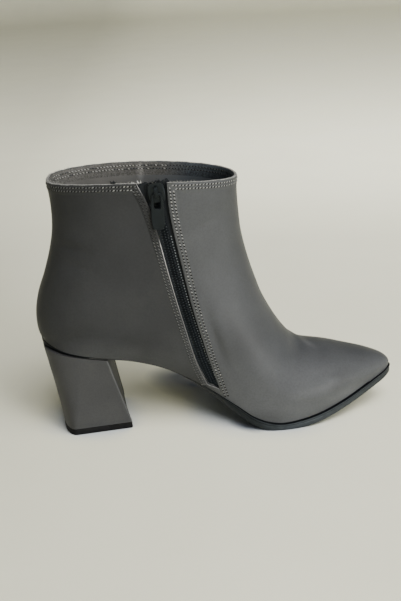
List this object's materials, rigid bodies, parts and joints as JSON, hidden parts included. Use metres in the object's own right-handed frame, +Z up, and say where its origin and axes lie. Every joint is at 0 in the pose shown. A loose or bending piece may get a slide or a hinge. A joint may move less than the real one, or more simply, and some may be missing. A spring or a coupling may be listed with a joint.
{
  "type": "heeled ankle boot",
  "caption": "Pointed-toe leather ankle boot for the left foot, with a block heel, thin sole and a zip up the inner side with a hanging pull tab.",
  "frame": {"origin": "on the floor, at the middle of the boot's box in length and width", "axes": "+X towards the toe, +Y towards the outer side of the left foot, +Z up from the floor"},
  "size_m": [0.2488, 0.0845, 0.1782],
  "materials": {
    "leather": "satin grey",
    "heel_cover": "satin grey wrapped over a hard block",
    "sole": "matte charcoal",
    "top_piece": "matte black",
    "insole": "matte dark grey",
    "zip_tape": "black woven",
    "zip_coil": "black satin",
    "zip_metal": "black satin enamel"
  },
  "bodies": {
    "boot": {"upper": "leather", "heel": "heel_cover", "outsole": "sole", "heel_top_piece": "top_piece", "insole": "insole", "zip_tape": "zip_tape", "zip_coil": "zip_coil", "zip_slider": "zip_metal"},
    "pull_tab": {"zip_pull_tab": "zip_metal"}
  },
  "joints": [
    {"name": "pull_tab_hinge", "type": "hinge", "parent": "boot", "child": "pull_tab", "pos_m": [-0.03511, -0.03391, 0.16972], "axis": [-1, -0.0071, 0], "range_deg": [0, 150]}
  ]
}
